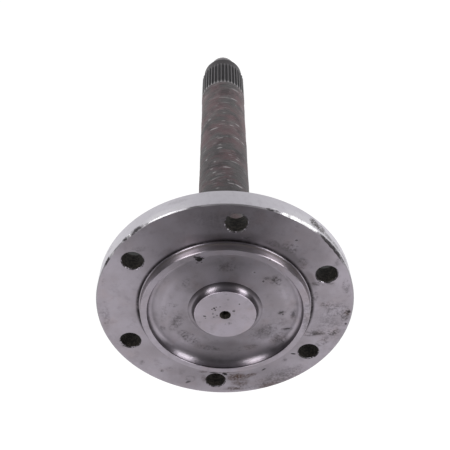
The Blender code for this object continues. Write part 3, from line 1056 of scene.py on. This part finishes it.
def bar_steel():
    """Forging scale: dark grey with reddish brown patches and bright rubbed strokes."""
    graph = Steel("forging_scale")
    angle = graph.math("ARCTAN2", graph.y, graph.x)
    around = graph.joined(graph.times(angle, BAR_RADIUS), graph.z, 0.0)
    grain = graph.noise(graph.place, 0.7, 8.0, 0.7)
    drawn = graph.joined(graph.times(graph.x, 0.55), graph.times(graph.y, 0.55), graph.z)
    patches = graph.noise(drawn, 0.062, 6.0, 0.62)
    dark = graph.noise(graph.vector("ADD", graph.place, (90.0, 40.0, 10.0)), 0.05, 6.0, 0.62)
    pale = graph.noise(graph.vector("ADD", drawn, (20.0, 70.0, 30.0)), 0.10, 5.0, 0.6)
    thin = graph.joined(graph.times(graph.x, 0.22), graph.times(graph.y, 0.22), graph.z)
    streaks = graph.noise(thin, 0.45, 5.0, 0.62)
    ragged = graph.times(graph.less(graph.noise(graph.place, 0.5, 5.0, 0.7), 0.5), 1.6)
    rubbed = graph.most([stroke(graph, around, mark, ragged) for mark in BAR_STROKES])
    elsewhere = graph.times(
        graph.ramp(streaks, 0.54, 0.7), graph.ramp(graph.noise(graph.place, 0.06, 3.0), 0.45, 0.65)
    )
    rubbed = graph.most([rubbed, graph.times(elsewhere, 0.6)])
    colour = graph.mix(graph.ramp(patches, 0.42, 0.58), SCALE_GREY, SCALE_RED)
    colour = graph.mix(graph.times(graph.ramp(pale, 0.5, 0.68), 0.6), colour, SCALE_PALE)
    colour = graph.mix(graph.times(graph.ramp(dark, 0.48, 0.68), 0.75), colour, SCALE_DARK_AND_SHADE)
    colour = graph.mix(graph.times(graph.ramp(streaks, 0.5, 0.32), 0.3), colour, SCALE_DARK_AND_SHADE)
    colour = graph.mix(graph.times(grain, 0.3), colour, SCALE_DARK_AND_SHADE)
    # Painted shade: the bar drawn darker towards the flange
    colour = graph.mix(graph.ramp(graph.z, 330.0, 110.0, 0.0, 0.5), colour, SCALE_DARK_AND_SHADE)
    colour = graph.mix(graph.times(rubbed, 0.85), colour, RUBBED)
    height = graph.add(grain, graph.times(streaks, 2.2))
    height = graph.add(height, graph.times(rubbed, 0.8))
    return graph.finish(
        base_color=colour,
        metallic=graph.add(0.3, graph.times(rubbed, 0.35)),
        roughness=graph.less(graph.add(0.44, graph.times(grain, 0.25)), graph.times(rubbed, 0.12)),
        normal=bump(graph, height, 0.6, 0.0005),
    )


def spline_steel():
    """Hobbed teeth: grey crests, and grooves dark with old oil."""
    graph = Steel("spline_steel")
    mottle = graph.noise(graph.place, 0.4, 6.0, 0.65)
    crest = graph.ramp(graph.r, (LAND_RADIUS - 0.45) * FLAT, (LAND_RADIUS - 0.05) * FLAT)
    runout = graph.ramp(graph.z, BAR_LENGTH + GROOVE_RUNOUT, BAR_LENGTH + 1.0)
    steel = graph.mix(graph.ramp(mottle, 0.35, 0.7), SPLINE_STEEL, SCALE_GREY)
    steel = graph.mix(graph.times(runout, 0.5), steel, RUBBED)
    colour = graph.mix(crest, GROOVE_DIRT, steel)
    return graph.finish(
        base_color=colour,
        metallic=graph.ramp(crest, 0.0, 1.0, 0.5, 0.85),
        roughness=graph.add(0.34, graph.times(mottle, 0.2)),
        normal=bump(graph, mottle, 0.3, 0.0002),
    )


def nose_steel():
    """The turned neck and nose beyond the teeth, with painted shade on the neck."""
    graph = Steel("nose_steel")
    mottle = graph.noise(graph.place, 0.35, 6.0, 0.6)
    rings = graph.noise(graph.joined(graph.z, graph.r, 0.0), 1.5, 2.0)
    colour = graph.mix(graph.ramp(mottle, 0.4, 0.75), NOSE_STEEL, RAW_BACK)
    # Painted shade: the neck between the teeth and the nose drawn dark
    colour = graph.mix(graph.ramp(graph.z, NECK_END + 3.0, NECK_END - 2.0), colour, SCALE_DARK_AND_SHADE)
    return graph.finish(
        base_color=colour,
        metallic=0.95,
        roughness=graph.add(0.3, graph.times(rings, 0.12)),
        **graph.turned(0.35),
        normal=bump(graph, graph.add(rings, mottle), 0.3, 0.0001),
    )


# The studio: white paper all round, with a soft box low on each side. In front of the
# flange, where the photographer stands, the room and a wedge of the paper are dark. The
# floor carries a painted shadow of the flange and the bar, laid as if thrown back from the
# front, which keeps the bolt holes dark.
FLOOR_SIZE = 12.0
FLOOR_GLOW = 0.62
FLOOR_ALBEDO = 0.40
FLOOR_SEEN = 0.93
FLOOR_SEEN_ALBEDO = 0.20
STAND_FRONT = (-0.25, -0.37)
STAND_SIDES = (0.50, 0.20)
STAND_DEPTH = 0.73
STAND_POINT = -0.19
FRONT_FADE = (-1.0, -2.2)
SHADOW_PLACE = Vector((0.0, -0.112, 0.0))
SHADOW_SIZE = (0.125, 0.0998)
SHADOW_EDGE = (1.06, 0.94)
BAR_SHADOW_PLACE = 0.04
BAR_SHADOW_SIZE = (0.026, 0.18)
BAR_SHADOW_EDGE = (1.0, 0.86)
SHADOW_DEPTH = 0.95
FAR_WHITE = (0.5, 1.6)
BACKDROP = 1.05
BACKDROP_EDGE = (-0.25, 0.55)
WALL_SEEN = 1.25
CEILING = 0.175
CEILING_EDGE = (0.85, 0.35)
ROOM = 0.07
BOX_DISTANCE = 1.35
BOX_SIZE = (1.5, 0.5)
LEFT_BOX = (radians(47), radians(17), 9.9)
RIGHT_BOX = (radians(33), radians(15), 10.9)
BOX_TARGET = Vector((0, -0.2, 0.1))


class Studio(Nodes):
    """The floor's or the room's shader, from an empty tree."""

    def __init__(self, tree):
        super().__init__(tree)
        tree.nodes.clear()

    def paper(self, glow, albedo):
        """White paper that is lit and also glows evenly."""
        shine = self.node("ShaderNodeEmission", {"Strength": glow}).outputs[0]
        white = self.joined(albedo, albedo, albedo)
        lit = self.node("ShaderNodeBsdfDiffuse", {"Color": white}).outputs[0]
        return self.node("ShaderNodeAddShader", {0: shine, 1: lit}).outputs[0]


def add_floor():
    mesh = bpy.data.meshes.new("studio_floor")
    half = FLOOR_SIZE / 2
    corners = [(-half, -half, 0), (half, -half, 0), (half, half, 0), (-half, half, 0)]
    mesh.from_pydata(corners, [], [(0, 1, 2, 3)])
    floor = bpy.data.objects.new("studio_floor", mesh)
    bpy.context.scene.collection.objects.link(floor)
    material = bpy.data.materials.new("studio_floor")
    material.use_nodes = True
    graph = Studio(material.node_tree)
    point = graph.node("ShaderNodeNewGeometry").outputs["Position"]
    x, y, _ = graph.split(point)
    reach = graph.most([graph.less(STAND_POINT, y), 0.02])
    beside = graph.math("DIVIDE", graph.math("ABSOLUTE", x), reach)
    stand = graph.times(graph.ramp(y, *STAND_FRONT), graph.ramp(beside, *STAND_SIDES))
    open_floor = graph.less(1.0, graph.times(stand, STAND_DEPTH))
    bright = graph.times(open_floor, graph.ramp(y, *FRONT_FADE, 1.0, 0.25))
    to_steel = graph.paper(graph.times(bright, FLOOR_GLOW), graph.times(bright, FLOOR_ALBEDO))
    off = graph.vector("SUBTRACT", point, SHADOW_PLACE)
    inward = graph.length(graph.vector("DIVIDE", off, (*SHADOW_SIZE, 1.0)))
    across = graph.math("DIVIDE", graph.math("ABSOLUTE", x), BAR_SHADOW_SIZE[0])
    along = graph.math("ABSOLUTE", graph.less(y, BAR_SHADOW_PLACE))
    strip = graph.most([across, graph.math("DIVIDE", along, BAR_SHADOW_SIZE[1])])
    of_flange = graph.ramp(inward, *SHADOW_EDGE, 0.0, SHADOW_DEPTH)
    of_bar = graph.ramp(strip, *BAR_SHADOW_EDGE, 0.0, SHADOW_DEPTH)
    shadow = graph.most([of_flange, of_bar])
    distance = graph.length(point)
    far = graph.ramp(distance, *FAR_WHITE)
    glow = graph.ramp(distance, *FAR_WHITE, FLOOR_SEEN, 1.0)
    lit = graph.less(1.0, shadow)
    albedo = graph.times(graph.times(graph.less(1.0, far), lit), FLOOR_SEEN_ALBEDO)
    to_camera = graph.paper(graph.times(glow, lit), albedo)
    path = graph.node("ShaderNodeLightPath")
    inputs = {0: path.outputs["Is Camera Ray"], 1: to_steel, 2: to_camera}
    surface = graph.node("ShaderNodeMixShader", inputs).outputs[0]
    graph.node("ShaderNodeOutputMaterial", {"Surface": surface})
    mesh.materials.append(material)


def add_world():
    """White to the camera; to the steel, a bright backdrop behind and a dim room in front."""
    world = bpy.data.worlds.new("studio")
    bpy.context.scene.world = world
    world.use_nodes = True
    graph = Studio(world.node_tree)
    direction = graph.node("ShaderNodeTexCoord").outputs["Generated"]
    _, ahead, up = graph.split(direction)
    behind = graph.ramp(ahead, *BACKDROP_EDGE, ROOM, BACKDROP)
    low = graph.ramp(up, *CEILING_EDGE)
    overhead = graph.times(graph.less(1.0, low), CEILING)
    light = graph.add(graph.times(behind, low), overhead)
    path = graph.node("ShaderNodeLightPath")
    strength = graph.most([light, graph.times(path.outputs["Is Camera Ray"], WALL_SEEN)])
    background = graph.node("ShaderNodeBackground", {"Strength": strength}).outputs[0]
    graph.node("ShaderNodeOutputWorld", {"Surface": background})


def add_soft_box(name, side, place):
    """A long soft box beside the flange, at an elevation and turned towards the front."""
    elevation, forward, power = place
    lamp = bpy.data.lights.new(name, "AREA")
    lamp.shape = "RECTANGLE"
    lamp.size, lamp.size_y = BOX_SIZE
    lamp.energy = power
    box = bpy.data.objects.new(name, lamp)
    bpy.context.scene.collection.objects.link(box)
    level = cos(elevation)
    away = Vector((side * level * cos(forward), -level * sin(forward), sin(elevation)))
    box.location = BOX_TARGET + away * BOX_DISTANCE
    box.rotation_euler = away.to_track_quat("Z", "Y").to_euler()


def add_studio():
    bpy.context.scene.view_settings.view_transform = "Standard"
    add_floor()
    add_world()
    add_soft_box("soft_box_left", -1, LEFT_BOX)
    add_soft_box("soft_box_right", 1, RIGHT_BOX)


def main():
    # The face, ring, recess and boss are one turned steel at different tones; part of the
    # difference in lightness between them is painted light and shade
    materials = {
        "face": machined_steel("face_steel", 1.10, FACE_MARKS, 0.86, 0.30),
        "ring": machined_steel("ring_steel", 1.32, FACE_MARKS, 0.5, 0.38),
        "recess": machined_steel("recess_steel", 1.24, RECESS_MARKS, 0.88, 0.29, RECESS_WALL_SHADE),
        "boss_wall": machined_steel("boss_wall_steel", 0.98, BOSS_MARKS, 0.75, 0.32, BOSS_WALL_SHADE),
        "boss": machined_steel("boss_steel", 1.80, BOSS_MARKS, 0.2, 0.48),
        "edge": rim_steel("edge_steel", EDGE_STEEL, 0.48),
        "rim": rim_steel("rim_steel", RIM_STEEL, 0.28),
        "back": back_steel(),
        "bore": bore_steel(),
        "mouth": mouth_steel(),
        "bar": bar_steel(),
        "spline": spline_steel(),
        "nose": nose_steel(),
    }
    add_camera()
    add_flange(materials)
    add_bar(materials)
    add_spline(materials)
    add_studio()


main()
